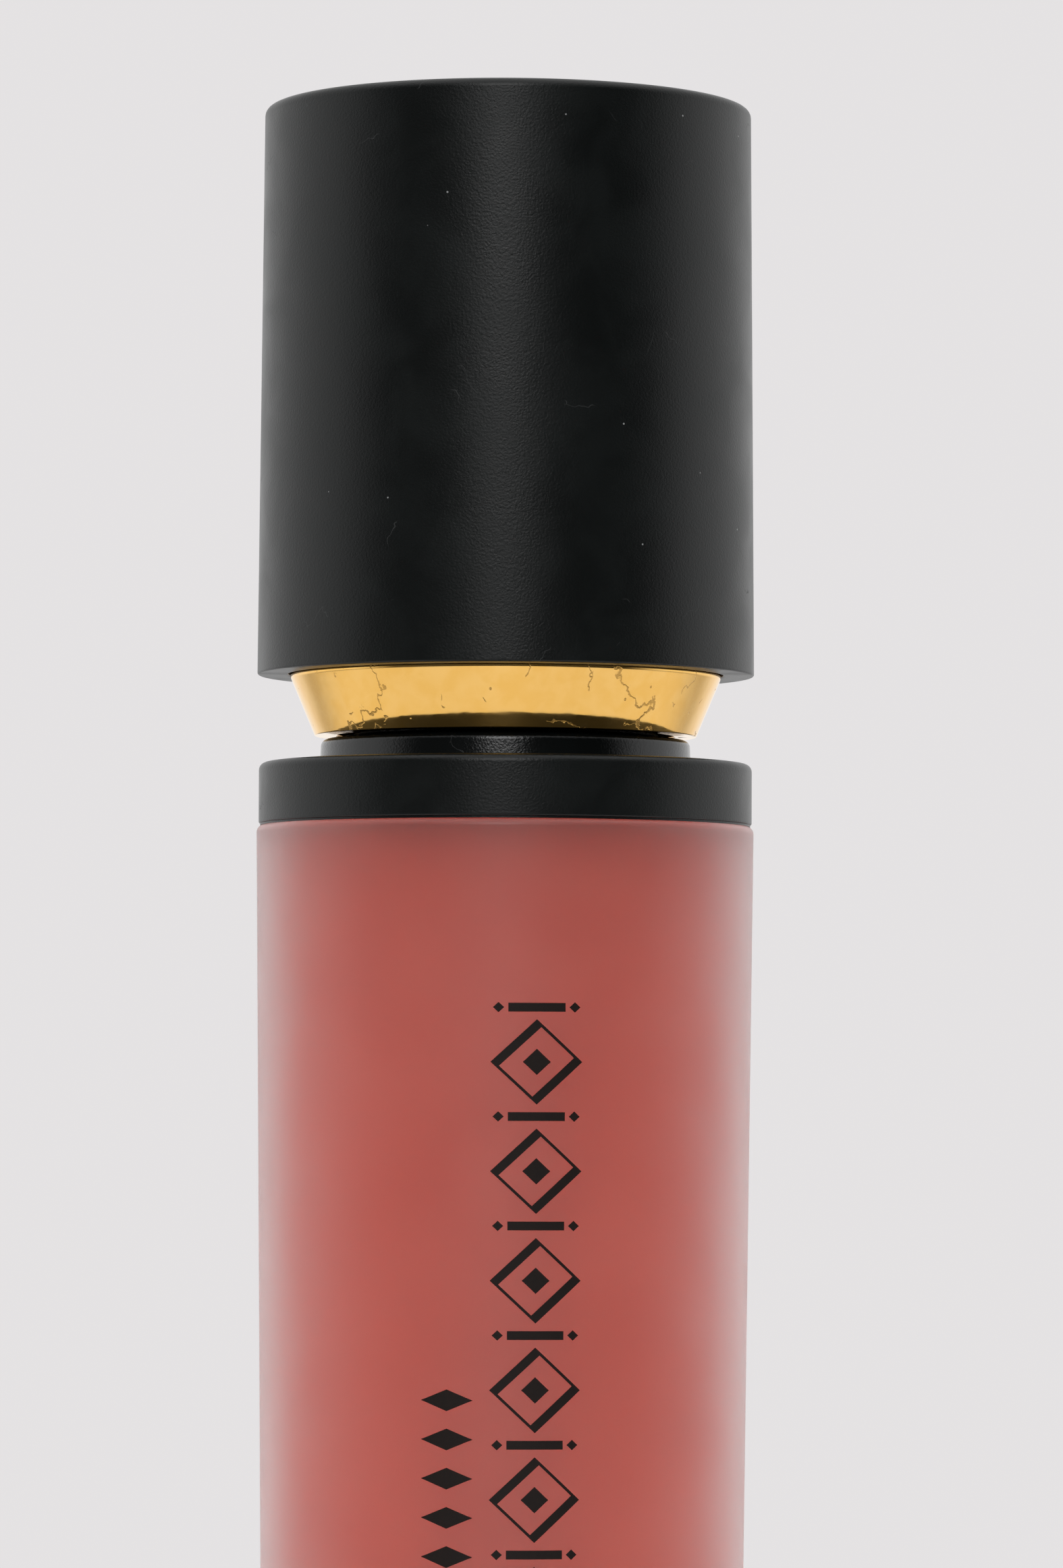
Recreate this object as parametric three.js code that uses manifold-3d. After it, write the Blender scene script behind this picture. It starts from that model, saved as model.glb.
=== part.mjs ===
// A screw-cap lip gloss tube. The lower half is a frosted, thick-walled tube with a black collar,
// a threaded neck insert and a wiper. The upper half is a matte black cap with a gilt trim ring,
// and carries an inner cap, a sealing washer and a wand with a flocked applicator.
// Millimetres, +Z up, with the origin at the centre of the base that the tube stands on.
import * as THREE from "three";
import { mergeVertices } from "three/addons/utils/BufferGeometryUtils.js";
import Module from "manifold-3d";

const wasm = await Module();
wasm.setup();

// Facets round every turned piece, so that pieces on the axis nest without touching.
const FACETS = 36;
// Clearance between two pieces that are pressed, snapped or glued together.
const FIT = 0.05;

// Tube: a tapered wall, narrower at the base, with a short stub that the collar hides.
const TUBE_HEIGHT = 53;
const TUBE_RIM_RADIUS = 10;
const TUBE_BASE_RADIUS = 9.42;
const TUBE_BASE_ROUND = 0.5;
const TUBE_RIM_ROUND = 0.3;
const TUBE_BORE_RADIUS = 6.4;
const TUBE_BORE_FOOT_RADIUS = 6.1;
const TUBE_FLOOR = 4.5;
const BORE_FOOT_ROUND = 1.5;
const BORE_STRAIGHT = 1;
const STUB_RADIUS = 8;
const STUB_HEIGHT = 1.8;

// Recess under the base, with a round label in it.
const RECESS_RADIUS = 7.4;
const RECESS_DEPTH = 0.5;
const LABEL_RADIUS = 7.2;
const LABEL_THICKNESS = 0.15;

// Collar: a disc on the tube's rim, held down by the neck insert's step.
const COLLAR_RADIUS = 9.92;
const COLLAR_HEIGHT = 2.45;
const COLLAR_LIP = 0.6;
const COLLAR_ROUND = 0.3;

// Neck insert: a plug in the tube's stub, a step over the collar and a threaded neck.
const STEP_RADIUS = 7.46;
const STEP_TOP_RADIUS = 7.42;
const STEP_HEIGHT = 0.9;
const STEP_ROUND = 0.28;
const SHANK_RADIUS = 6.8;
const SNAP_BEAD = 0.22;
const SNAP_BEAD_HEIGHT = 0.6;
const NECK_BAND_RADIUS = 6.13;
const NECK_BAND_HEIGHT = 1;
const NECK_RADIUS = 5.7;
const NECK_BORE_RADIUS = 4.3;
const NECK_TOP = 66;
const NECK_EDGE = 0.25;
const HOUSING_RADIUS = 5.2;
const HOUSING_FOOT = 49;

// Thread: one right-hand start on the neck, and its partner inside the inner cap.
const THREAD_PITCH = 2.1;
const THREAD_TURNS = 1.5;
const THREAD_BEAD_RADIUS = 0.5;
const THREAD_START = 59.4;
const INNER_THREAD_BEAD_RADIUS = 0.45;
const THREAD_STEPS_PER_TURN = 24;
const THREAD_SIDES = 6;

// Wiper: a flanged sleeve in the neck, closing to a round lip that scrapes the wand.
const WIPER_FLANGE_RADIUS = 4.95;
const WIPER_FLANGE_THICKNESS = 0.6;
const WIPER_BORE_RADIUS = 3.6;
const WIPER_CONE_TOP = 57;
const WIPER_LIP = 53;
const WIPER_LIP_RADIUS = 2.25;
const WIPER_WALL = 0.5;

// Trim ring: a gilt cone under the cap's mouth, with a lip turned in below and a sleeve in the cap.
const TRIM_BOTTOM = 56.6;
const TRIM_BOTTOM_RADIUS = 7.68;
const TRIM_SLOPE = THREE.MathUtils.degToRad(22.8);
const TRIM_WALL = 0.28;
const TRIM_LIP = 0.9;
const TRIM_ROUND = 0.25;
const TRIM_GROOVE = 0.15;
const TRIM_SLEEVE_RADIUS = 8.6;
const TRIM_SLEEVE_BORE = 7.9;
const TRIM_SLEEVE_TOP = 62;
const TRIM_NESTED = 0.2;

// Cap shell: a tapered cup, narrower at its closed top.
const CAP_MOUTH = 59.05;
const CAP_TOP = 81.95;
const CAP_MOUTH_RADIUS = 10;
const CAP_TOP_RADIUS = 9.81;
const CAP_TOP_ROUND = 0.33;
const CAP_BORE_RADIUS = 8.75;
const CAP_BORE_TOP_RADIUS = 8.62;
const CAP_ROOF = 1.4;
const CAP_CORNER_ROUND = 0.8;

// Inner cap: the threaded cup inside the shell, with ribs that grip it and a socket for the wand.
const INNER_BORE_RADIUS = 6.75;
const INNER_CEILING = 66.65;
const INNER_ROOF = 1;
const INNER_BODY_RADIUS = 7.4;
const INNER_FLANGE_RADIUS = 8.5;
const INNER_FLANGE_HEIGHT = 0.95;
const RIB_COUNT = 8;
const RIB_WIDTH = 1;
const TOWER_RADIUS = 4;
const TOWER_TOP = 72;
const SOCKET_RADIUS = 2.6;

// Sealing washer, squeezed between the neck's top and the inner cap's ceiling.
const WASHER_RADIUS = 6;
const WASHER_BORE_RADIUS = 3.3;

// Wand: a stem with a snap head in the socket, and a slant-cut flocked tip on its lower end.
const STEM_RADIUS = 1.75;
const STEM_FLANGE_RADIUS = 3.1;
const STEM_HEAD_RADIUS = 2.55;
const STEM_SNAP_RADIUS = 2.85;
const STEM_SNAP_HEIGHT = 0.8;
const STEM_FOOT = 20;
const STEM_EDGE = 0.2;
const PEG_RADIUS = 0.85;
const PEG_HEIGHT = 3.8;
const TIP_RADIUS = 2.1;
const TIP_BOTTOM = 9;
const TIP_SLANT_DEGREES = 22;
const TIP_SLANT_START = 0.6;
const FLOCK_THICKNESS = 0.4;
const KNIFE_SIZE = 20;
const FLOCK_BELOW_STEM = 0.6;
const CORE_OVERLAP = 1;

// Filling: the gap left under the rim, and the channel that the wand's tip leaves in it.
const FILL_GAP = 0.3;
const GLOSS_CHANNEL_RADIUS = 2.4;
const CHANNEL_BELOW_TIP = 0.5;

// Levels that follow from the sizes above.
const COLLAR_BOTTOM = TUBE_HEIGHT + FIT;
const COLLAR_TOP = COLLAR_BOTTOM + COLLAR_HEIGHT;
const STUB_TOP = TUBE_HEIGHT + STUB_HEIGHT;
const STEP_BOTTOM = COLLAR_TOP + FIT;
const STEP_TOP = STEP_BOTTOM + STEP_HEIGHT;
const SNAP_MIDDLE = TUBE_HEIGHT + STUB_HEIGHT / 2;
const TRIM_CONE_TOP = CAP_MOUTH + TRIM_NESTED;
const TRIM_INNER_TOP = CAP_MOUTH - TRIM_NESTED;

// Outer radius of the trim ring's cone at a height.
function trimRadius(z) {
  return TRIM_BOTTOM_RADIUS + (z - TRIM_BOTTOM) * Math.tan(TRIM_SLOPE);
}

// Points of a quarter or other arc in a profile, from one angle to another, in degrees.
function arc(r, z, radius, from, to, steps = 3) {
  return Array.from({ length: steps + 1 }, (_, i) => {
    const angle = THREE.MathUtils.degToRad(from + ((to - from) * i) / steps);
    return [r + radius * Math.cos(angle), z + radius * Math.sin(angle)];
  });
}

// A profile of [radius, height] points turned about Z, with the material on the profile's left.
function turned(profile) {
  const points = profile.map(([r, z]) => new THREE.Vector2(r, z));
  return new THREE.LatheGeometry(points, FACETS).rotateX(Math.PI / 2);
}

// A profile that doesn't reach the axis, closed on itself and turned about Z.
function turnedRing(profile) {
  return turned([...profile, profile[0]]);
}

// A closed geometry as a solid that can be joined and cut.
function solid(geometry) {
  const bare = new THREE.BufferGeometry();
  bare.setAttribute("position", geometry.getAttribute("position"));
  bare.setIndex(geometry.getIndex());
  const merged = mergeVertices(bare, 1e-4);
  return new wasm.Manifold(
    new wasm.Mesh({
      numProp: 3,
      vertProperties: merged.attributes.position.array,
      triVerts: new Uint32Array(merged.index.array),
    }),
  );
}

// A solid back as a geometry.
function geometryOf(manifold) {
  const { vertProperties, triVerts } = manifold.getMesh();
  const geometry = new THREE.BufferGeometry();
  geometry.setAttribute("position", new THREE.BufferAttribute(vertProperties, 3));
  geometry.setIndex(new THREE.BufferAttribute(triVerts, 1));
  geometry.computeVertexNormals();
  return geometry;
}

// The centre line of a right-hand thread that climbs about Z.
class Helix extends THREE.Curve {
  constructor(radius, start) {
    super();
    this.radius = radius;
    this.start = start;
  }

  getPoint(t, target = new THREE.Vector3()) {
    const turn = THREAD_TURNS * t;
    const angle = 2 * Math.PI * turn;
    return target.set(
      this.radius * Math.cos(angle),
      this.radius * Math.sin(angle),
      this.start + THREAD_PITCH * turn,
    );
  }
}

function threadBead(radius, start, beadRadius) {
  const section = new THREE.Shape().absarc(0, 0, beadRadius, 0, 2 * Math.PI);
  return solid(
    new THREE.ExtrudeGeometry(section, {
      extrudePath: new Helix(radius, start),
      steps: THREAD_TURNS * THREAD_STEPS_PER_TURN,
      curveSegments: THREAD_SIDES,
    }),
  );
}

function tubeBody() {
  const groove = TUBE_BORE_RADIUS + SNAP_BEAD;
  const grooveHalf = SNAP_BEAD_HEIGHT / 2 + FIT;
  const baseCentre = TUBE_BASE_RADIUS - TUBE_BASE_ROUND;
  const rimCentre = TUBE_RIM_RADIUS - TUBE_RIM_ROUND;
  const footCentre = TUBE_BORE_FOOT_RADIUS - BORE_FOOT_ROUND;
  return turned([
    [0, RECESS_DEPTH],
    [RECESS_RADIUS, RECESS_DEPTH],
    [RECESS_RADIUS, 0],
    ...arc(baseCentre, TUBE_BASE_ROUND, TUBE_BASE_ROUND, -90, 0),
    ...arc(rimCentre, TUBE_HEIGHT - TUBE_RIM_ROUND, TUBE_RIM_ROUND, 0, 90),
    [STUB_RADIUS, TUBE_HEIGHT],
    [STUB_RADIUS, STUB_TOP],
    [TUBE_BORE_RADIUS, STUB_TOP],
    [TUBE_BORE_RADIUS, SNAP_MIDDLE + grooveHalf],
    [groove, SNAP_MIDDLE + grooveHalf - SNAP_BEAD],
    [groove, SNAP_MIDDLE - grooveHalf + SNAP_BEAD],
    [TUBE_BORE_RADIUS, SNAP_MIDDLE - grooveHalf],
    [TUBE_BORE_RADIUS, TUBE_HEIGHT - BORE_STRAIGHT],
    ...arc(footCentre, TUBE_FLOOR + BORE_FOOT_ROUND, BORE_FOOT_ROUND, 0, -90),
    [0, TUBE_FLOOR],
  ]);
}

function baseLabel() {
  const top = RECESS_DEPTH - FIT;
  const bottom = top - LABEL_THICKNESS;
  return turned([
    [0, bottom],
    [LABEL_RADIUS, bottom],
    [LABEL_RADIUS, top],
    [0, top],
  ]);
}

// The filling: it reaches the rim round the wiper's housing, and leaves the wand a channel.
function gloss() {
  const fill = TUBE_HEIGHT - FILL_GAP;
  const footCentre = TUBE_BORE_FOOT_RADIUS - FIT - BORE_FOOT_ROUND;
  const housing = HOUSING_RADIUS + FIT;
  const channelFoot = TIP_BOTTOM - CHANNEL_BELOW_TIP;
  return turned([
    [0, TUBE_FLOOR + FIT],
    ...arc(footCentre, TUBE_FLOOR + FIT + BORE_FOOT_ROUND, BORE_FOOT_ROUND, -90, 0),
    [TUBE_BORE_RADIUS - FIT, TUBE_HEIGHT - BORE_STRAIGHT],
    [TUBE_BORE_RADIUS - FIT, fill],
    [housing, fill],
    [housing, HOUSING_FOOT - FIT],
    [GLOSS_CHANNEL_RADIUS, HOUSING_FOOT - FIT],
    [GLOSS_CHANNEL_RADIUS, channelFoot],
    [0, channelFoot],
  ]);
}

function collarRing() {
  const roundCentre = COLLAR_RADIUS - COLLAR_ROUND;
  const lipBottom = COLLAR_TOP - COLLAR_LIP;
  return turnedRing([
    [STUB_RADIUS + FIT, COLLAR_BOTTOM],
    [COLLAR_RADIUS, COLLAR_BOTTOM],
    ...arc(roundCentre, COLLAR_TOP - COLLAR_ROUND, COLLAR_ROUND, 0, 90),
    [SHANK_RADIUS + FIT, COLLAR_TOP],
    [SHANK_RADIUS + FIT, lipBottom],
    [STUB_RADIUS + FIT, lipBottom],
  ]);
}

function neckInsert() {
  const plug = TUBE_BORE_RADIUS - FIT;
  const bead = plug + SNAP_BEAD;
  const beadHalf = SNAP_BEAD_HEIGHT / 2;
  const plugFoot = TUBE_HEIGHT - FIT;
  const stepCentre = STEP_TOP_RADIUS - STEP_ROUND;
  const seat = NECK_TOP - WIPER_FLANGE_THICKNESS - FIT;
  const profile = [
    [NECK_BORE_RADIUS, HOUSING_FOOT],
    [HOUSING_RADIUS, HOUSING_FOOT],
    [HOUSING_RADIUS, plugFoot],
    [plug, plugFoot],
    [plug, SNAP_MIDDLE - beadHalf],
    [bead, SNAP_MIDDLE - beadHalf + SNAP_BEAD],
    [bead, SNAP_MIDDLE + beadHalf - SNAP_BEAD],
    [plug, SNAP_MIDDLE + beadHalf],
    [plug, STUB_TOP + FIT],
    [SHANK_RADIUS, STUB_TOP + FIT],
    [SHANK_RADIUS, STEP_BOTTOM],
    [STEP_RADIUS, STEP_BOTTOM],
    ...arc(stepCentre, STEP_TOP - STEP_ROUND, STEP_ROUND, 0, 90),
    [NECK_BAND_RADIUS, STEP_TOP],
    [NECK_BAND_RADIUS, STEP_TOP + NECK_BAND_HEIGHT - NECK_EDGE],
    [NECK_RADIUS, STEP_TOP + NECK_BAND_HEIGHT],
    [NECK_RADIUS, NECK_TOP - NECK_EDGE],
    [NECK_RADIUS - NECK_EDGE, NECK_TOP],
    [WIPER_FLANGE_RADIUS + FIT, NECK_TOP],
    [WIPER_FLANGE_RADIUS + FIT, seat],
    [NECK_BORE_RADIUS, seat],
  ];
  const thread = threadBead(NECK_RADIUS, THREAD_START, THREAD_BEAD_RADIUS);
  const bore = solid(
    turned([
      [0, THREAD_START - THREAD_PITCH],
      [NECK_BORE_RADIUS, THREAD_START - THREAD_PITCH],
      [NECK_BORE_RADIUS, NECK_TOP],
      [0, NECK_TOP],
    ]),
  );
  return geometryOf(solid(turnedRing(profile)).add(thread.subtract(bore)));
}

function wiper() {
  const sleeve = NECK_BORE_RADIUS - FIT;
  const flangeBottom = NECK_TOP - WIPER_FLANGE_THICKNESS;
  return turnedRing([
    [WIPER_LIP_RADIUS, WIPER_LIP],
    [WIPER_LIP_RADIUS + WIPER_WALL, WIPER_LIP],
    [sleeve, WIPER_CONE_TOP],
    [sleeve, flangeBottom],
    [WIPER_FLANGE_RADIUS, flangeBottom],
    [WIPER_FLANGE_RADIUS, NECK_TOP],
    [WIPER_BORE_RADIUS, NECK_TOP],
    [WIPER_BORE_RADIUS, WIPER_CONE_TOP],
  ]);
}

function trimRing() {
  const roundBase = TRIM_CONE_TOP - TRIM_ROUND;
  const roundCentre = trimRadius(roundBase) - TRIM_ROUND / Math.cos(TRIM_SLOPE);
  const slopeDegrees = THREE.MathUtils.radToDeg(TRIM_SLOPE);
  const grooveTop = TRIM_CONE_TOP + TRIM_GROOVE;
  const lipTop = TRIM_BOTTOM + TRIM_WALL;
  return turnedRing([
    [TRIM_BOTTOM_RADIUS - TRIM_LIP, TRIM_BOTTOM],
    [TRIM_BOTTOM_RADIUS, TRIM_BOTTOM],
    ...arc(roundCentre, roundBase, TRIM_ROUND, -slopeDegrees, 90),
    [roundCentre, grooveTop],
    [TRIM_SLEEVE_RADIUS, grooveTop],
    [TRIM_SLEEVE_RADIUS, TRIM_SLEEVE_TOP],
    [TRIM_SLEEVE_BORE, TRIM_SLEEVE_TOP],
    [TRIM_SLEEVE_BORE, TRIM_INNER_TOP],
    [trimRadius(lipTop) - TRIM_WALL, lipTop],
    [TRIM_BOTTOM_RADIUS - TRIM_LIP, lipTop],
  ]);
}

function capShell() {
  const topCentre = CAP_TOP_RADIUS - CAP_TOP_ROUND;
  const ceiling = CAP_TOP - CAP_ROOF;
  const cornerCentre = CAP_BORE_TOP_RADIUS - CAP_CORNER_ROUND;
  return turned([
    [0, ceiling],
    ...arc(cornerCentre, ceiling - CAP_CORNER_ROUND, CAP_CORNER_ROUND, 90, 0),
    [CAP_BORE_RADIUS, CAP_MOUTH],
    [CAP_MOUTH_RADIUS, CAP_MOUTH],
    ...arc(topCentre, CAP_TOP - CAP_TOP_ROUND, CAP_TOP_ROUND, 0, 90),
    [0, CAP_TOP],
  ]);
}

function innerCap() {
  const skirt = TRIM_SLEEVE_BORE - FIT;
  const flangeBottom = TRIM_SLEEVE_TOP + FIT;
  const flangeTop = flangeBottom + INNER_FLANGE_HEIGHT;
  const roof = INNER_CEILING + INNER_ROOF;
  const foot = TRIM_BOTTOM + TRIM_WALL + FIT;
  const body = solid(
    turnedRing([
      [INNER_BORE_RADIUS, foot],
      [trimRadius(foot) - TRIM_WALL - 2 * FIT, foot],
      [skirt, TRIM_INNER_TOP],
      [skirt, flangeBottom],
      [INNER_FLANGE_RADIUS, flangeBottom],
      [INNER_FLANGE_RADIUS, flangeTop],
      [INNER_BODY_RADIUS, flangeTop],
      [INNER_BODY_RADIUS, roof],
      [TOWER_RADIUS, roof],
      [TOWER_RADIUS, TOWER_TOP],
      [SOCKET_RADIUS, TOWER_TOP],
      [SOCKET_RADIUS, INNER_CEILING],
      [INNER_BORE_RADIUS, INNER_CEILING],
    ]),
  );
  const start = THREAD_START - THREAD_PITCH / 2;
  const thread = threadBead(INNER_BORE_RADIUS, start, INNER_THREAD_BEAD_RADIUS);
  let joined = body.add(thread);
  const reach = (INNER_FLANGE_RADIUS - INNER_BORE_RADIUS) / 2;
  const height = roof - flangeBottom - INNER_ROOF / 2;
  for (let i = 0; i < RIB_COUNT; i++) {
    const rib = new THREE.BoxGeometry(reach, RIB_WIDTH, height)
      .translate(INNER_FLANGE_RADIUS - reach / 2, 0, flangeBottom + height / 2)
      .rotateZ((2 * Math.PI * i) / RIB_COUNT);
    joined = joined.add(solid(rib));
  }
  return geometryOf(joined);
}

function sealingWasher() {
  const bottom = NECK_TOP + FIT;
  const top = INNER_CEILING - FIT;
  return turnedRing([
    [WASHER_BORE_RADIUS, bottom],
    [WASHER_RADIUS, bottom],
    [WASHER_RADIUS, top],
    [WASHER_BORE_RADIUS, top],
  ]);
}

// The stem is turned whole, with a blind hole in its foot for the applicator's peg.
function wandStem() {
  const flangeBottom = NECK_TOP + FIT;
  const flangeTop = INNER_CEILING - FIT;
  const snapBottom = TOWER_TOP + FIT;
  const snapTop = snapBottom + STEM_SNAP_HEIGHT;
  const hole = PEG_RADIUS + FIT;
  return turned([
    [0, STEM_FOOT + PEG_HEIGHT + FIT],
    [hole, STEM_FOOT + PEG_HEIGHT + FIT],
    [hole, STEM_FOOT],
    [STEM_RADIUS - STEM_EDGE, STEM_FOOT],
    [STEM_RADIUS, STEM_FOOT + STEM_EDGE],
    [STEM_RADIUS, flangeBottom],
    [STEM_FLANGE_RADIUS, flangeBottom],
    [STEM_FLANGE_RADIUS, flangeTop],
    [STEM_HEAD_RADIUS, flangeTop],
    [STEM_HEAD_RADIUS, snapBottom],
    [STEM_SNAP_RADIUS, snapBottom],
    [STEM_HEAD_RADIUS - STEM_EDGE, snapTop],
    [0, snapTop],
  ]);
}

// A round-ended tip whose front is cut away at a slant, with every face moved in by inset.
function slantTip(inset, top) {
  const radius = TIP_RADIUS - inset;
  const bottom = TIP_BOTTOM + inset;
  const blank = solid(
    turned([
      ...arc(0, bottom + radius, radius, -90, 0, 6),
      [radius, top],
      [0, top],
    ]),
  );
  const slant = THREE.MathUtils.degToRad(TIP_SLANT_DEGREES);
  const knife = new THREE.BoxGeometry(KNIFE_SIZE, KNIFE_SIZE, KNIFE_SIZE)
    .translate(0, -KNIFE_SIZE / 2 + inset, 0)
    .rotateX(slant)
    .translate(0, TIP_SLANT_START, TIP_BOTTOM);
  return blank.subtract(solid(knife));
}

function applicatorCore() {
  const top = STEM_FOOT - FIT;
  const peg = turned([
    [0, top - CORE_OVERLAP],
    [PEG_RADIUS, top - CORE_OVERLAP],
    [PEG_RADIUS, STEM_FOOT + PEG_HEIGHT - STEM_EDGE],
    [PEG_RADIUS - STEM_EDGE, STEM_FOOT + PEG_HEIGHT],
    [0, STEM_FOOT + PEG_HEIGHT],
  ]);
  return geometryOf(slantTip(FLOCK_THICKNESS + FIT, top).add(solid(peg)));
}

function applicatorFlocking() {
  const top = STEM_FOOT - FLOCK_BELOW_STEM;
  const hollow = slantTip(FLOCK_THICKNESS, top + CORE_OVERLAP);
  return geometryOf(slantTip(0, top).subtract(hollow));
}

function material(color, roughness, metalness = 0, opacity = 1) {
  const transparent = opacity < 1;
  return new THREE.MeshStandardMaterial({ color, roughness, metalness, opacity, transparent });
}

const matteBlack = material(0x2a2e2d, 0.6);
const satinBlack = material(0x1d2020, 0.4);
const natural = material(0xe8e5df, 0.45);

function addPiece(group, name, geometry, pieceMaterial) {
  const mesh = new THREE.Mesh(geometry, pieceMaterial);
  mesh.name = name;
  group.add(mesh);
}

const tube = new THREE.Group();
addPiece(tube, "tube_body", tubeBody(), material(0xd8b4b0, 0.55, 0, 0.5));
addPiece(tube, "base_label", baseLabel(), material(0xe9e6e1, 0.7));
addPiece(tube, "gloss", gloss(), material(0xb04f42, 0.25));
addPiece(tube, "collar_ring", collarRing(), matteBlack);
addPiece(tube, "neck_insert", neckInsert(), satinBlack);
addPiece(tube, "wiper", wiper(), natural);

const cap = new THREE.Group();
addPiece(cap, "trim_ring", trimRing(), material(0xf0bc69, 0.12, 1));
addPiece(cap, "cap_shell", capShell(), matteBlack);
addPiece(cap, "inner_cap", innerCap(), natural);
addPiece(cap, "sealing_washer", sealingWasher(), material(0xf1f0ec, 0.8));
addPiece(cap, "wand_stem", wandStem(), satinBlack);
addPiece(cap, "applicator_core", applicatorCore(), natural);
addPiece(cap, "applicator_flocking", applicatorFlocking(), material(0xf3ebe6, 0.95));

const lipGloss = new THREE.Group();
lipGloss.add(tube, cap);

export default lipGloss;
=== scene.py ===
"""The looks of a lip gloss tube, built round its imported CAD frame.

Every piece is turned or swept in mesh code at the frame's own sizes, rides on the frame's bodies
and stands for one CAD node. A profile is a list of corners in millimetres: (radius, height), or
(radius, height, rounding) where the corner is rounded.
"""
import math
import random

import bmesh
import bpy
from mathutils import Matrix, Vector


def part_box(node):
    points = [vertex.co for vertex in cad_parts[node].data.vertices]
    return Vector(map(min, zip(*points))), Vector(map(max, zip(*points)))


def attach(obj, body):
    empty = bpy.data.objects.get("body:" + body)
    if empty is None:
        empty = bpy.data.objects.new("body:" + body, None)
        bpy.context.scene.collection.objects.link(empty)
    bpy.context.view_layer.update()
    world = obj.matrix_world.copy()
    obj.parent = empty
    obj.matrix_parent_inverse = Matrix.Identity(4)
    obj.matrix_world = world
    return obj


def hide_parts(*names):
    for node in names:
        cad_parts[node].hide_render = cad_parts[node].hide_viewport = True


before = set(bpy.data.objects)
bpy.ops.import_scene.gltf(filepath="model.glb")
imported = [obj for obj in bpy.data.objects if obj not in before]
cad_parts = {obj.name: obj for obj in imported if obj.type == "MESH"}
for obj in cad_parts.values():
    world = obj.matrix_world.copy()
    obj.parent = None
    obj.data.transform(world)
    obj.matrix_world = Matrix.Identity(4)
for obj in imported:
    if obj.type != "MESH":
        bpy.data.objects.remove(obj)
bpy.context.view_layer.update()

MM = 0.001

# Facets round a turned piece, and the steps in a quarter arc of its profile.
ROUND_STEPS = 192
ARC_STEPS = 6
# Corners of a profile sharper than this stay crisp when the piece is shaded smooth.
CRISP_DEGREES = 32
# A straight stretch longer than LONG has a ring this close to each end, which keeps its shading flat.
LONG = 0.4
SUPPORT = 0.03
# Where a shape runs out to a point it keeps this share of its size, so that no face is empty.
THINNEST = 0.02


def span(node):
    """(lowest height, highest height, outer radius) of a CAD node, in millimetres."""
    low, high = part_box(node)
    return low[2] / MM, high[2] / MM, high[0] / MM


# Places that the frame gives.
_, TUBE_STUB_TOP, TUBE_RADIUS = span("tube_body")
LABEL_BOTTOM, LABEL_TOP, LABEL_RADIUS = span("base_label")
COLLAR_BOTTOM, COLLAR_TOP, COLLAR_RADIUS = span("collar_ring")
NECK_FOOT, NECK_TOP, STEP_RADIUS = span("neck_insert")
WIPER_LIP, _, WIPER_FLANGE = span("wiper")
TRIM_BOTTOM, TRIM_SLEEVE_TOP, TRIM_SLEEVE_RADIUS = span("trim_ring")
CAP_MOUTH, CAP_TOP, CAP_RADIUS = span("cap_shell")
_, TOWER_TOP, INNER_FLANGE_RADIUS = span("inner_cap")
WASHER_BOTTOM, WASHER_TOP, WASHER_RADIUS = span("sealing_washer")
STEM_FOOT, STEM_TOP, STEM_FLANGE_RADIUS = span("wand_stem")
_, PEG_TOP, _ = span("applicator_core")
TIP_BOTTOM, TIP_TOP, TIP_RADIUS = span("applicator_flocking")

# Sizes inside those boxes, as in the CAD.
FIT = 0.05
TUBE_RIM = COLLAR_BOTTOM - FIT
TUBE_BASE_RADIUS = 9.42
TUBE_BASE_ROUND = 0.5
TUBE_RIM_ROUND = 0.3
TUBE_BORE = 6.4
TUBE_BORE_FOOT = 6.1
TUBE_FLOOR = 4.5
BORE_ROUND = 1.5
BORE_STRAIGHT = 1
STUB_RADIUS = 8.0
RECESS_RADIUS = 7.4
RECESS_DEPTH = LABEL_TOP + FIT
STEP_TOP = COLLAR_TOP + FIT + 0.9
STEP_ROUND = 0.28
STEP_TOP_RADIUS = 7.42
SHANK_RADIUS = 6.8
NECK_BAND_RADIUS = 6.13
NECK_BAND_TOP = STEP_TOP + 1
NECK_RADIUS = 5.7
NECK_BORE = 4.3
HOUSING_RADIUS = 5.2
TRIM_BOTTOM_RADIUS = 7.68
TRIM_SLOPE = math.tan(math.radians(22.8))
TRIM_WALL = 0.28
TRIM_LIP = 0.9
TRIM_ROUND = 0.25
TRIM_NESTED = 0.2
TRIM_CONE_TOP = CAP_MOUTH + TRIM_NESTED
TRIM_INNER_TOP = CAP_MOUTH - TRIM_NESTED
TRIM_GROOVE = 0.15
TRIM_BORE = 7.9
CAP_TOP_RADIUS = 9.81
CAP_TOP_ROUND = 0.33
CAP_BORE = 8.75
CAP_BORE_TOP = 8.62
CAP_ROOF = 1.4
INNER_BORE = 6.75
INNER_CEILING = WASHER_TOP + FIT
INNER_BODY_RADIUS = 7.4
THREAD_PITCH = 2.1
THREAD_TURNS = 1.5
THREAD_START = 59.4
STEM_RADIUS = 1.75
FLOCK_THICKNESS = 0.4
FIBRE_LENGTH = 0.24
FIBRE_WIDTH = 0.035
FIBRE_COUNT = 4200
FIBRE_SEED = 11
FIBRE_LEAN = 0.45
TIP_SLANT_DEGREES = 22
TIP_SLANT_START = 0.6
THREAD_STEPS_PER_TURN = 96
THREAD_RUN_OUT = 1 / 6


# ---------------------------------------------------------------- mesh code

def arc(r, z, radius, start, end, steps=ARC_STEPS):
    """Points of an arc in a profile, from one angle to another in degrees."""
    angles = [math.radians(start + (end - start) * i / steps) for i in range(steps + 1)]
    return [(r + radius * math.cos(a), z + radius * math.sin(a)) for a in angles]


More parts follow.
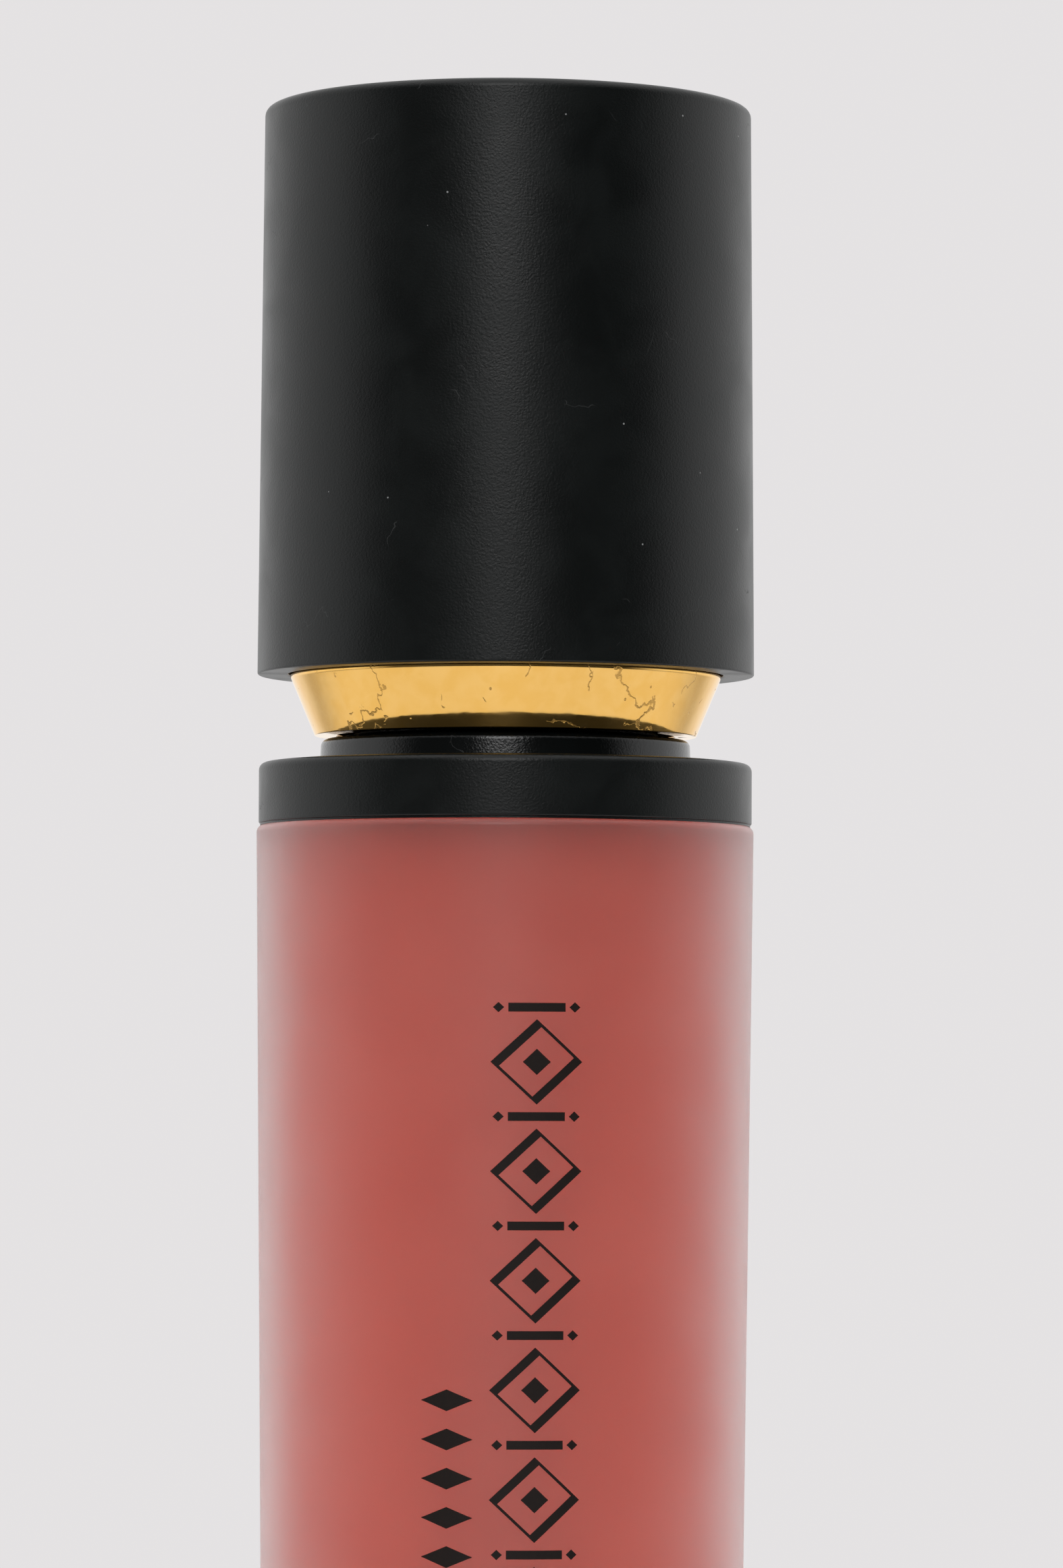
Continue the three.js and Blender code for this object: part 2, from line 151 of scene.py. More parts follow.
def fillet(before, corner, after, radius):
    """Points of the arc that rounds a corner and touches both of its sides."""
    here = Vector(corner)
    one, two = (Vector(before) - here).normalized(), (Vector(after) - here).normalized()
    half = one.angle(two) / 2
    centre = here + (one + two).normalized() * radius / math.sin(half)
    first = here + one * radius / math.tan(half) - centre
    last = here + two * radius / math.tan(half) - centre
    start = math.atan2(first.y, first.x)
    turn = (math.atan2(last.y, last.x) - start + math.pi) % (2 * math.pi) - math.pi
    return arc(*centre, radius, math.degrees(start), math.degrees(start + turn))


def outline(profile, closed):
    """The points of a profile, its rounded corners as arcs and its long sides with support points."""
    points = []
    for i, (radius, height, *rounding) in enumerate(profile):
        if rounding:
            after = profile[(i + 1) % len(profile)]
            points += fillet(profile[i - 1][:2], (radius, height), after[:2], rounding[0])
        else:
            points.append((radius, height))
    supported = []
    ends = points[1:] + points[:1] if closed else points[1:]
    for start, end in zip(points, ends):
        supported.append(start)
        side = Vector(end) - Vector(start)
        if side.length > LONG:
            step = side.normalized() * SUPPORT
            supported += [tuple(Vector(start) + step), tuple(Vector(end) - step)]
    return supported if closed else supported + points[-1:]


def add_object(name, bm):
    """A bmesh in metres as a smooth-shaded object of the scene."""
    mesh = bpy.data.meshes.new(name)
    for face in bm.faces:
        face.smooth = True
    bm.to_mesh(mesh)
    bm.free()
    made = bpy.data.objects.new(name, mesh)
    bpy.context.scene.collection.objects.link(made)
    return made


def sharpen(bm):
    """Edges whose faces meet at more than the crisp angle are kept sharp."""
    bm.normal_update()
    for edge in bm.edges:
        if len(edge.link_faces) == 2 and edge.calc_face_angle() > math.radians(CRISP_DEGREES):
            edge.smooth = False


def bridge(bm, lower, upper):
    """Faces between two rings; a ring of one vertex is a pole."""
    count = max(len(lower), len(upper))
    for i in range(count):
        j = (i + 1) % count
        below = [lower[i % len(lower)], lower[j % len(lower)]]
        above = [upper[j % len(upper)], upper[i % len(upper)]]
        bm.faces.new(list(dict.fromkeys(below + above)))


def turned_point(radius, height, angle):
    """A point of a profile, in millimetres, turned about Z, in metres."""
    return radius * MM * math.cos(angle), radius * MM * math.sin(angle), height * MM


def turned_rings(bm, points, closed=False, steps=ROUND_STEPS):
    """Rings of vertices for the points of a profile turned about Z, joined by faces."""
    rings = []
    for radius, height in points:
        count = steps if radius > 1e-6 else 1
        angles = [2 * math.pi * i / steps for i in range(count)]
        rings.append([bm.verts.new(turned_point(radius, height, angle)) for angle in angles])
    for lower, upper in zip(rings, rings[1:] + rings[:1] if closed else rings[1:]):
        bridge(bm, lower, upper)
    return rings


def turned(name, profile, closed=False):
    """A profile turned about Z, with the material on the profile's left."""
    bm = bmesh.new()
    turned_rings(bm, outline(profile, closed), closed)
    sharpen(bm)
    return add_object(name, bm)


def helix_bead(name, root_radius, reach, start, root_width, crest_width):
    """A thread of trapezoid section that climbs about Z; reach below zero points it inwards.

    Its foot is sunk a little into the wall, and both ends run out to nothing over a sixth of a turn.
    """
    steps = int(THREAD_TURNS * THREAD_STEPS_PER_TURN)
    sink = -0.15 * math.copysign(1, reach)
    bm = bmesh.new()
    sections = []
    for i in range(steps + 1):
        turns = THREAD_TURNS * i / steps
        nearest_end = min(turns, THREAD_TURNS - turns)
        grown = max(THINNEST, min(1.0, nearest_end / THREAD_RUN_OUT))
        height = start + THREAD_PITCH * turns
        angle = 2 * math.pi * turns
        half_root, half_crest = root_width / 2, crest_width / 2 * grown
        foot, crest = root_radius + sink, root_radius + reach * grown
        shape = [(foot, height - half_root), (crest, height - half_crest),
                 (crest, height + half_crest), (foot, height + half_root)]
        sections.append([bm.verts.new(turned_point(r, z, angle)) for r, z in shape])
    for low, high in zip(sections, sections[1:]):
        bridge(bm, low, high)
    bm.faces.new(sections[0])
    bm.faces.new(sections[-1][::-1])
    bmesh.ops.recalc_face_normals(bm, faces=bm.faces)
    sharpen(bm)
    return add_object(name, bm)


# ---------------------------------------------------------------- materials

def node(tree, kind, inputs=None, **settings):
    """A shader node with its settings; each input is a value or another node's output."""
    made = tree.nodes.new("ShaderNode" + kind)
    for key, value in settings.items():
        setattr(made, key, value)
    for key, value in (inputs or {}).items():
        if isinstance(value, bpy.types.NodeSocket):
            tree.links.new(value, made.inputs[key])
        else:
            made.inputs[key].default_value = value
    return made


def new_material(name, **values):
    """(material, its tree, its Principled shader), with the shader's named values set."""
    material = bpy.data.materials.new(name)
    material.use_nodes = True
    tree = material.node_tree
    shader = tree.nodes["Principled BSDF"]
    for key, value in values.items():
        shader.inputs[key.replace("_", " ")].default_value = value
    return material, tree, shader


def millimetres(tree):
    """The piece's own coordinates, in millimetres."""
    coords = node(tree, "TexCoord").outputs["Object"]
    return node(tree, "Mapping", {"Vector": coords, "Scale": (1 / MM, 1 / MM, 1 / MM)}).outputs["Vector"]


def noise(tree, where, scale, detail=2.0, distortion=0.0):
    inputs = {"Vector": where, "Scale": scale, "Detail": detail, "Distortion": distortion}
    return node(tree, "TexNoise", inputs).outputs["Fac"]


def remap(tree, value, low, high, to_low=0.0, to_high=1.0):
    inputs = {"Value": value, "From Min": low, "From Max": high, "To Min": to_low, "To Max": to_high}
    return node(tree, "MapRange", inputs, interpolation_type="SMOOTHSTEP").outputs["Result"]


def math_node(tree, operation, a, b=0.0):
    return node(tree, "Math", {0: a, 1: b}, operation=operation).outputs["Value"]


def blend_colours(tree, factor, low, high):
    made = node(tree, "Mix", {"Factor": factor}, data_type="RGBA")
    for socket, value in ((made.inputs[6], low), (made.inputs[7], high)):
        if isinstance(value, bpy.types.NodeSocket):
            tree.links.new(value, socket)
        else:
            socket.default_value = (*value, 1.0)
    return made.outputs[2]


def specks(tree, where, per_mm, size, share):
    """A mask of small dots: about share of the cells of that density hold one."""
    cells = node(tree, "TexVoronoi", {"Vector": where, "Scale": per_mm})
    draw = node(tree, "SeparateColor", {0: cells.outputs["Color"]}).outputs[0]
    chosen = math_node(tree, "GREATER_THAN", draw, 1 - share)
    dot = remap(tree, cells.outputs["Distance"], size, size * 0.5)
    return math_node(tree, "MULTIPLY", chosen, dot)


def bump(tree, shader, height, depth_mm, strength=1.0):
    made = node(tree, "Bump", {"Height": height, "Distance": depth_mm * MM, "Strength": strength})
    tree.links.new(made.outputs["Normal"], shader.inputs["Normal"])


def scratches(tree, where, per_mm, width, share, offset):
    """A mask of thin broken lines: the edges of wandering cells, kept where a cloud is thick."""
    moved = node(tree, "VectorMath", {0: where, 1: offset}, operation="ADD").outputs["Vector"]
    wander = node(tree, "TexNoise", {"Vector": moved, "Scale": per_mm * 3, "Detail": 3.0}).outputs["Color"]
    pushing = {0: wander, "Scale": 0.5 / per_mm}
    pushed = node(tree, "VectorMath", pushing, operation="SCALE").outputs["Vector"]
    path = node(tree, "VectorMath", {0: moved, 1: pushed}, operation="ADD").outputs["Vector"]
    cells = node(tree, "TexVoronoi", {"Vector": path, "Scale": per_mm}, feature="DISTANCE_TO_EDGE")
    line = remap(tree, cells.outputs["Distance"], width * per_mm, width * per_mm * 0.4)
    kept = remap(tree, noise(tree, moved, per_mm * 1.6, 1.0), 1 - share, 1.03 - share)
    return math_node(tree, "MULTIPLY", line, kept)


def black_lacquer(name, colour, sheen, rough_low, rough_high, dust):
    """Black plastic or soft lacquer: a fine grain, cloudy roughness, dust and a few hairline scratches."""
    material, tree, shader = new_material(name, Specular_IOR_Level=sheen)
    where = millimetres(tree)
    grain = noise(tree, where, 11.0, 2.0)
    clouds = noise(tree, where, 0.35, 4.0, 0.6)
    lines = scratches(tree, where, 0.22, 0.02, 0.34, (3.0, 8.0, 1.0))
    rough = remap(tree, clouds, 0.3, 0.7, rough_low, rough_high)
    roughened = math_node(tree, "ADD", rough, math_node(tree, "MULTIPLY", lines, 0.2))
    tree.links.new(roughened, shader.inputs["Roughness"])
    worn = tuple(min(1.0, c * 1.5) for c in colour)
    base = blend_colours(tree, remap(tree, clouds, 0.35, 0.75), colour, worn)
    marks = specks(tree, where, 1.3, 0.065, dust)
    pale = math_node(tree, "MAXIMUM", marks, math_node(tree, "MULTIPLY", lines, 0.08))
    tree.links.new(blend_colours(tree, pale, base, (0.32, 0.33, 0.33)), shader.inputs["Base Color"])
    bump(tree, shader, math_node(tree, "ADD", grain, marks), 0.009)
    return material


def crease_and_painted_reflection(tree, where, across, lean, wander, width, offset):
    """A mask of one ragged fold line that climbs the front of the piece at a distance from its middle, kept
    to the front half; the gilt uses it for a bump and, in its colour, for a painted dark reflection.
    """
    axes = node(tree, "SeparateXYZ", {"Vector": where}).outputs
    moved = node(tree, "VectorMath", {0: where, 1: offset}, operation="ADD").outputs["Vector"]
    sway = math_node(tree, "SUBTRACT", noise(tree, moved, 1.1, 5.0), 0.5)
    swing = math_node(tree, "MULTIPLY", sway, wander)
    rise = math_node(tree, "MULTIPLY", math_node(tree, "SUBTRACT", axes["Z"], TRIM_BOTTOM), lean)
    path = math_node(tree, "ADD", math_node(tree, "ADD", swing, rise), across)
    away = math_node(tree, "ABSOLUTE", math_node(tree, "SUBTRACT", axes["X"], path))
    line = remap(tree, away, width, width * 0.3)
    # Only the front half (Y below zero) gets the fold line, as painted reflection.
    return math_node(tree, "MULTIPLY", line, math_node(tree, "LESS_THAN", axes["Y"], 0.0))


def gilt():
    """Mirror gold on plastic: slightly uneven, with a few ragged folds and rough dark flecks; on the front
    the folds darken its colour as a painted dark reflection of the seam.
    """
    material, tree, shader = new_material("gilt", Metallic=1.0)
    where = millimetres(tree)
    clouds = noise(tree, where, 1.3, 3.0, 0.4)
    # Two fold lines near the ends of the front; their dark colour is painted reflection of the dark seam,
    # not a mark on the gold.
    left = crease_and_painted_reflection(tree, where, -5.6, 0.45, 5.5, 0.14, (0.0, 0.0, 0.0))
    right = crease_and_painted_reflection(tree, where, 5.9, -0.6, 3.5, 0.13, (9.0, 4.0, 1.0))
    lines = scratches(tree, where, 0.42, 0.035, 0.38, (5.0, 2.0, 4.0))
    creases_and_painted_reflections = math_node(tree, "MAXIMUM", math_node(tree, "MAXIMUM", left, right), lines)
    flecks = specks(tree, where, 1.9, 0.13, 0.08)
    marks_and_painted_reflections = math_node(tree, "MAXIMUM", creases_and_painted_reflections, flecks)
    gold = blend_colours(tree, remap(tree, clouds, 0.3, 0.7), (0.96, 0.56, 0.14), (1.0, 0.61, 0.18))
    # The colour darkens under real scratches and flecks, and under the two fold lines, where the darkening
    # is painted reflection.
    gold_with_marks_and_painted_reflections = blend_colours(tree, math_node(tree, "MULTIPLY", marks_and_painted_reflections, 0.48), gold, (0.3, 0.16, 0.04))
    tree.links.new(gold_with_marks_and_painted_reflections, shader.inputs["Base Color"])
    smooth = remap(tree, clouds, 0.3, 0.7, 0.05, 0.09)
    roughened = math_node(tree, "ADD", smooth, math_node(tree, "MULTIPLY", marks_and_painted_reflections, 0.3))
    tree.links.new(roughened, shader.inputs["Roughness"])
    uneven = math_node(tree, "MULTIPLY", noise(tree, where, 0.8, 2.0), 0.4)
    bump(tree, shader, math_node(tree, "SUBTRACT", uneven, math_node(tree, "MULTIPLY", marks_and_painted_reflections, 0.3)), 0.02)
    return material


def frosted_wall():
    """Thick clear plastic with a frosted skin."""
    material, tree, shader = new_material("frosted_wall", Transmission_Weight=0.96, IOR=1.52)
    where = millimetres(tree)
    grain = noise(tree, where, 6.0, 3.0)
    clouds = noise(tree, where, 0.25, 3.0)
    tree.links.new(remap(tree, clouds, 0.3, 0.7, 0.4, 0.46), shader.inputs["Roughness"])
    tint = blend_colours(tree, clouds, (0.96, 0.86, 0.86), (0.99, 0.91, 0.91))
    tree.links.new(tint, shader.inputs["Base Color"])
    bump(tree, shader, grain, 0.004)
    return material


def creamy_gloss():
    """The filling: an opaque coral red cream that wets the wall, so it has no gloss of its own there."""
    material, tree, shader = new_material(
        "creamy_gloss", Roughness=0.5, Specular_IOR_Level=0.05,
        Subsurface_Weight=0.15, Subsurface_Scale=0.6 * MM)
    shader.inputs["Subsurface Radius"].default_value = (1.0, 0.35, 0.25)
    where = millimetres(tree)
    swirl = noise(tree, where, 0.22, 4.0, 1.5)
    red = blend_colours(tree, remap(tree, swirl, 0.3, 0.7), (0.83, 0.14, 0.094), (0.88, 0.162, 0.11))
    tree.links.new(red, shader.inputs["Base Color"])
    return material


def milky_plastic(name, colour, roughness):
    material, tree, shader = new_material(
        name, Subsurface_Weight=0.25, Subsurface_Scale=0.8 * MM, IOR=1.5)
    where = millimetres(tree)
    clouds = noise(tree, where, 0.8, 3.0)
    darker = tuple(c * 0.93 for c in colour)
    tree.links.new(blend_colours(tree, clouds, darker, colour), shader.inputs["Base Color"])
    rough = remap(tree, clouds, 0.3, 0.7, roughness - 0.06, roughness + 0.06)
    tree.links.new(rough, shader.inputs["Roughness"])
    bump(tree, shader, noise(tree, where, 7.0, 2.0), 0.008)
    return material


def flock():
    """Short nylon fibres, wet with gloss towards the tip."""
    material, tree, shader = new_material("flock", Sheen_Weight=0.5, Sheen_Roughness=0.5)
    where = millimetres(tree)
    height = node(tree, "SeparateXYZ", {"Vector": where}).outputs["Z"]
    fibres = noise(tree, where, 12.0, 3.0)
    edge = math_node(tree, "ADD", height, math_node(tree, "MULTIPLY", noise(tree, where, 1.2, 2.0), 3.0))
    wet = remap(tree, edge, TIP_TOP + 1.2, TIP_TOP - 1.0)
    colour = blend_colours(tree, wet, (0.86, 0.8, 0.77), (0.62, 0.12, 0.085))
    tree.links.new(colour, shader.inputs["Base Color"])
    tree.links.new(remap(tree, wet, 0.0, 1.0, 0.95, 0.35), shader.inputs["Roughness"])
    bump(tree, shader, fibres, 0.06)
    return material


def label_paper():
    """A blank white sticker with a dot of the filling's colour inside a thin ring."""
    material, tree, shader = new_material("label_paper", Roughness=0.55)
    where = millimetres(tree)
    flat = node(tree, "VectorMath", {0: where, 1: (1.0, 1.0, 0.0)}, operation="MULTIPLY").outputs["Vector"]
    radius = node(tree, "VectorMath", {0: flat}, operation="LENGTH").outputs["Value"]
    fibres = noise(tree, where, 5.0, 4.0)
    paper = blend_colours(tree, fibres, (0.78, 0.77, 0.74), (0.86, 0.85, 0.83))
    dot = remap(tree, radius, 3.05, 2.95)
    dotted = blend_colours(tree, dot, paper, (0.55, 0.13, 0.1))
    ring = math_node(tree, "MULTIPLY", remap(tree, radius, 5.9, 5.95), remap(tree, radius, 6.15, 6.1))
    printed = blend_colours(tree, ring, dotted, (0.02, 0.02, 0.02))
    tree.links.new(printed, shader.inputs["Base Color"])
    bump(tree, shader, fibres, 0.01)
    return material


def ink():
    material, tree, shader = new_material("ink", Roughness=0.55, Specular_IOR_Level=0.25)
    where = millimetres(tree)
    cover = noise(tree, where, 6.0, 3.0)
    black = blend_colours(tree, cover, (0.004, 0.0015, 0.001), (0.012, 0.005, 0.003))
    tree.links.new(black, shader.inputs["Base Color"])
    return material


LACQUER = black_lacquer("matte_lacquer", (0.002, 0.0031, 0.003), 0.33, 0.32, 0.38, 0.04)
SATIN = black_lacquer("satin_black", (0.003, 0.004, 0.004), 0.42, 0.15, 0.19, 0.03)
GILT = gilt()
WALL = frosted_wall()
CREAM = creamy_gloss()
NATURAL = milky_plastic("natural_plastic", (0.8, 0.79, 0.75), 0.45)
FOAM = milky_plastic("liner_foam", (0.86, 0.86, 0.84), 0.75)
FLOCK = flock()
PAPER = label_paper()
INK = ink()


def place(piece, body, material, slot, *nodes):
    """Gives a piece its material and its body, and hides the CAD nodes it stands for; slot is not used."""
    piece.data.materials.append(material)
    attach(piece, body)
    if nodes:
        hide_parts(*nodes)


# ---------------------------------------------------------------- tube half

def wall_radius(height):
    """Outer radius of the tube at a height."""
    low, high = TUBE_BASE_ROUND, TUBE_RIM - TUBE_RIM_ROUND
    share = (height - low) / (high - low)
    return TUBE_BASE_RADIUS + (TUBE_RADIUS - TUBE_BASE_RADIUS) * share


def make_tube():
    wall = turned("frosted_tube", [
        (0, RECESS_DEPTH),
        (RECESS_RADIUS, RECESS_DEPTH, 0.1),
        (RECESS_RADIUS, 0, 0.1),
        (TUBE_BASE_RADIUS, 0, TUBE_BASE_ROUND),
        (TUBE_RADIUS, TUBE_RIM, TUBE_RIM_ROUND),
        (STUB_RADIUS, TUBE_RIM),
        (STUB_RADIUS, TUBE_STUB_TOP),
        (TUBE_BORE, TUBE_STUB_TOP),
        (TUBE_BORE, TUBE_RIM - BORE_STRAIGHT),
        (TUBE_BORE_FOOT, TUBE_FLOOR, BORE_ROUND),
        (0, TUBE_FLOOR),
    ])
    place(wall, "tube", WALL, "frosted_tube", "tube_body")


def make_gloss():
    """The filling wets the wall, so its skin sits just inside the plastic."""
    wet = 0.02
    foot = TUBE_FLOOR - wet
    fill = TUBE_RIM - FIT
    channel = TIP_RADIUS + 0.3
    channel_foot = TIP_BOTTOM - 0.5
    housing = HOUSING_RADIUS + FIT
    filling = turned("gloss_filling", [
        (0, foot),
        (TUBE_BORE_FOOT + wet, foot, BORE_ROUND),
        (TUBE_BORE + wet, TUBE_RIM - BORE_STRAIGHT),
        (TUBE_BORE + wet, fill),
        (housing, fill),
        (housing, NECK_FOOT - FIT),
        (channel, NECK_FOOT - FIT),
        (channel, channel_foot, 0.5),
        (0, channel_foot),
    ])
    place(filling, "tube", CREAM, "gloss_filling", "gloss")


def make_label():
    sticker = turned("base_sticker", [
        (0, LABEL_BOTTOM),
        (LABEL_RADIUS, LABEL_BOTTOM),
        (LABEL_RADIUS, LABEL_TOP),
        (0, LABEL_TOP),
    ])
    place(sticker, "tube", PAPER, "label_paper", "base_label")


def make_collar():
    """The collar sits on the tube's rim and follows its rounding a little way, as a dark seam."""
    lip_bottom = COLLAR_TOP - 0.6
    flat = TUBE_RADIUS - TUBE_RIM_ROUND + 0.02
    seat, seam = TUBE_RIM + 0.005, TUBE_RIM - 0.03
    seam_radius = flat + 0.14
    collar = turned("collar_disc", [
        (STUB_RADIUS + FIT, seat),
        (flat, seat),
        (seam_radius, seam),
        (seam_radius, COLLAR_BOTTOM),
        (COLLAR_RADIUS, COLLAR_BOTTOM, 0.08),
        (COLLAR_RADIUS, COLLAR_TOP, 0.3),
        (SHANK_RADIUS + FIT, COLLAR_TOP),
        (SHANK_RADIUS + FIT, lip_bottom),
        (STUB_RADIUS + FIT, lip_bottom),
    ], closed=True)
    place(collar, "tube", LACQUER, "matte_black", "collar_ring")


def make_neck():
    plug = TUBE_BORE - FIT
    snap, snap_middle = plug + 0.22, TUBE_RIM + 0.95
    step_bottom = COLLAR_TOP + FIT
    seat = NECK_TOP - 0.65
    neck = turned("neck_moulding", [
        (NECK_BORE, NECK_FOOT),
        (HOUSING_RADIUS, NECK_FOOT, 0.15),
        (HOUSING_RADIUS, TUBE_RIM - FIT),
        (plug, TUBE_RIM - FIT),
        (plug, snap_middle - 0.3),
        (snap, snap_middle, 0.1),
        (plug, snap_middle + 0.3),
        (plug, TUBE_STUB_TOP + FIT),
        (SHANK_RADIUS, TUBE_STUB_TOP + FIT),
        (SHANK_RADIUS, step_bottom),
        (STEP_RADIUS, step_bottom),
        (STEP_TOP_RADIUS, STEP_TOP, STEP_ROUND),
        (NECK_BAND_RADIUS, STEP_TOP, 0.15),
        (NECK_BAND_RADIUS, NECK_BAND_TOP, 0.2),
        (NECK_RADIUS, NECK_BAND_TOP, 0.1),
        (NECK_RADIUS, NECK_TOP, 0.25),
        (WIPER_FLANGE + FIT, NECK_TOP),
        (WIPER_FLANGE + FIT, seat),
        (NECK_BORE, seat),
    ], closed=True)
    place(neck, "tube", SATIN, "satin_black", "neck_insert")
    thread = helix_bead("neck_thread", NECK_RADIUS, 0.5, THREAD_START, 1.05, 0.35)
    place(thread, "tube", SATIN, "satin_black")


def make_wiper():
    sleeve = NECK_BORE - FIT
    flange_bottom = NECK_TOP - 0.6
    bore, cone_top, lip_radius, lip_wall = 3.6, 57.0, 2.25, 0.5
    scraper = turned("wiper_sleeve", [
        (lip_radius, WIPER_LIP, 0.15),
        (lip_radius + lip_wall, WIPER_LIP, 0.15),
        (sleeve, cone_top, 0.5),
        (sleeve, flange_bottom),
        (WIPER_FLANGE, flange_bottom),
        (WIPER_FLANGE, NECK_TOP, 0.15),
        (bore, NECK_TOP, 0.4),
        (bore, cone_top, 0.5),
    ], closed=True)
    place(scraper, "tube", NATURAL, "natural_plastic", "wiper")


# ---------------------------------------------------------------- cap half

def make_shell():
    ceiling = CAP_TOP - CAP_ROOF
    shell = turned("cap_outer", [
        (0, ceiling),
        (CAP_BORE_TOP, ceiling, 0.8),
        (CAP_BORE, CAP_MOUTH, 0.08),
        (CAP_RADIUS, CAP_MOUTH, 0.08),
        (CAP_TOP_RADIUS, CAP_TOP, CAP_TOP_ROUND),
        (0, CAP_TOP),
    ])
    place(shell, "cap", LACQUER, "matte_black", "cap_shell")


def trim_radius(height):
    """Outer radius of the trim ring's cone at a height."""
    return TRIM_BOTTOM_RADIUS + (height - TRIM_BOTTOM) * TRIM_SLOPE


def make_trim():
    lip = TRIM_BOTTOM_RADIUS - TRIM_LIP
    lip_top = TRIM_BOTTOM + TRIM_WALL
    neck = trim_radius(TRIM_CONE_TOP - TRIM_ROUND) - TRIM_ROUND * math.hypot(1, TRIM_SLOPE)
    groove_top = TRIM_CONE_TOP + TRIM_GROOVE
    ring = turned("gilt_cone", [
        (lip, TRIM_BOTTOM, 0.08),
        (TRIM_BOTTOM_RADIUS, TRIM_BOTTOM, 0.05),
        (trim_radius(TRIM_CONE_TOP), TRIM_CONE_TOP, TRIM_ROUND),
        (neck - 0.02, TRIM_CONE_TOP),
        (neck - 0.02, groove_top),
        (TRIM_SLEEVE_RADIUS, groove_top),
        (TRIM_SLEEVE_RADIUS, TRIM_SLEEVE_TOP),
        (TRIM_BORE, TRIM_SLEEVE_TOP),
        (TRIM_BORE, TRIM_INNER_TOP),
        (trim_radius(lip_top) - TRIM_WALL, lip_top),
        (lip, lip_top, 0.08),
    ], closed=True)
    place(ring, "trim", GILT, "gilt", "trim_ring")


def add_ribs(bm, bottom, top, inner, outer):
    """Upright ribs round the inner cap, which grip the shell."""
    count, width = 8, 1.0
    for i in range(count):
        spin = Matrix.Rotation(2 * math.pi * i / count, 4, "Z")
        shift = Matrix.Translation(Vector(((inner + outer) / 2, 0, (bottom + top) / 2)) * MM)
        scale = Matrix.Diagonal(Vector(((outer - inner) * MM, width * MM, (top - bottom) * MM, 1)))
        bmesh.ops.create_cube(bm, size=1, matrix=spin @ shift @ scale)


def make_inner_cap():
    skirt = TRIM_BORE - FIT
    flange_bottom = TRIM_SLEEVE_TOP + FIT
    flange_top = flange_bottom + 0.95
    roof = INNER_CEILING + 1
    tower, socket = 4.0, 2.6
    foot = TRIM_BOTTOM + TRIM_WALL + FIT
    cup = turned("inner_cup", [
        (INNER_BORE, foot, 0.1),
        (trim_radius(foot) - TRIM_WALL - 2 * FIT, foot, 0.05),
        (skirt, TRIM_INNER_TOP),
        (skirt, flange_bottom),
        (INNER_FLANGE_RADIUS, flange_bottom),
        (INNER_FLANGE_RADIUS, flange_top, 0.15),
        (INNER_BODY_RADIUS, flange_top),
        (INNER_BODY_RADIUS, roof, 0.2),
        (tower, roof),
        (tower, TOWER_TOP, 0.2),
        (socket, TOWER_TOP),
        (socket, INNER_CEILING),
        (INNER_BORE, INNER_CEILING, 0.2),
    ], closed=True)
    place(cup, "cap", NATURAL, "natural_plastic", "inner_cap")
    start = THREAD_START - THREAD_PITCH / 2
    thread = helix_bead("inner_thread", INNER_BORE, -0.45, start, 0.95, 0.3)
    place(thread, "cap", NATURAL, "natural_plastic")
    bm = bmesh.new()
    add_ribs(bm, flange_top - 0.1, roof - 0.5, INNER_BODY_RADIUS - 0.2, INNER_FLANGE_RADIUS)
    sharpen(bm)
    place(add_object("inner_cap_ribs", bm), "cap", NATURAL, "natural_plastic")


def make_washer():
    bore = 3.3
    washer = turned("foam_washer", [
        (bore, WASHER_BOTTOM),
        (WASHER_RADIUS, WASHER_BOTTOM, 0.08),
        (WASHER_RADIUS, WASHER_TOP, 0.08),
        (bore, WASHER_TOP),
    ], closed=True)
    place(washer, "washer", FOAM, "liner_foam", "sealing_washer")


def make_wand():
    head, snap, hole, edge = 2.55, 2.85, 0.9, 0.2
    snap_bottom = TOWER_TOP + FIT
    stem = turned("wand_rod", [
        (0, PEG_TOP + FIT),
        (hole, PEG_TOP + FIT),
        (hole, STEM_FOOT),
        (STEM_RADIUS, STEM_FOOT, edge),
        (STEM_RADIUS, WASHER_BOTTOM, 0.3),
        (STEM_FLANGE_RADIUS, WASHER_BOTTOM),
        (STEM_FLANGE_RADIUS, WASHER_TOP),
        (head, WASHER_TOP),
        (head, snap_bottom),
        (snap, snap_bottom),
        (head - edge, STEM_TOP),
        (0, STEM_TOP),
    ])
    place(stem, "cap", SATIN, "satin_black", "wand_stem")


def slant_plane(inset):
    """(a point, the normal) of the slant that cuts the tip's front away, moved in by inset."""
    lean = math.radians(TIP_SLANT_DEGREES)
    normal = Vector((0, math.cos(lean), math.sin(lean)))
    return Vector((0, TIP_SLANT_START, TIP_BOTTOM)) * MM + normal * inset * MM, normal


def add_slanted(bm, inset, top):
    """Adds a round-ended rod whose front is cut away at a slant; returns its open top ring."""
    radius = TIP_RADIUS - inset
    bottom = TIP_BOTTOM + inset
    points = arc(0, bottom + radius, radius, -90, 0, 12)
    points[0] = (0, bottom)
    before = set(bm.faces)
    rings = turned_rings(bm, [*points, (radius, top)], steps=ROUND_STEPS // 2)
    own = [face for face in bm.faces if face not in before]
    # A dict keeps its order; a set of mesh elements would be cut in another order on every run.
    parts = dict.fromkeys(own)
    for face in own:
        parts.update(dict.fromkeys([*face.edges, *face.verts]))
    point, normal = slant_plane(inset)
    cut = bmesh.ops.bisect_plane(bm, geom=list(parts), plane_co=point, plane_no=normal, clear_inner=True)
    rim = [item for item in cut["geom_cut"] if isinstance(item, bmesh.types.BMEdge)]
    bmesh.ops.contextual_create(bm, geom=rim)
    return rings[-1]


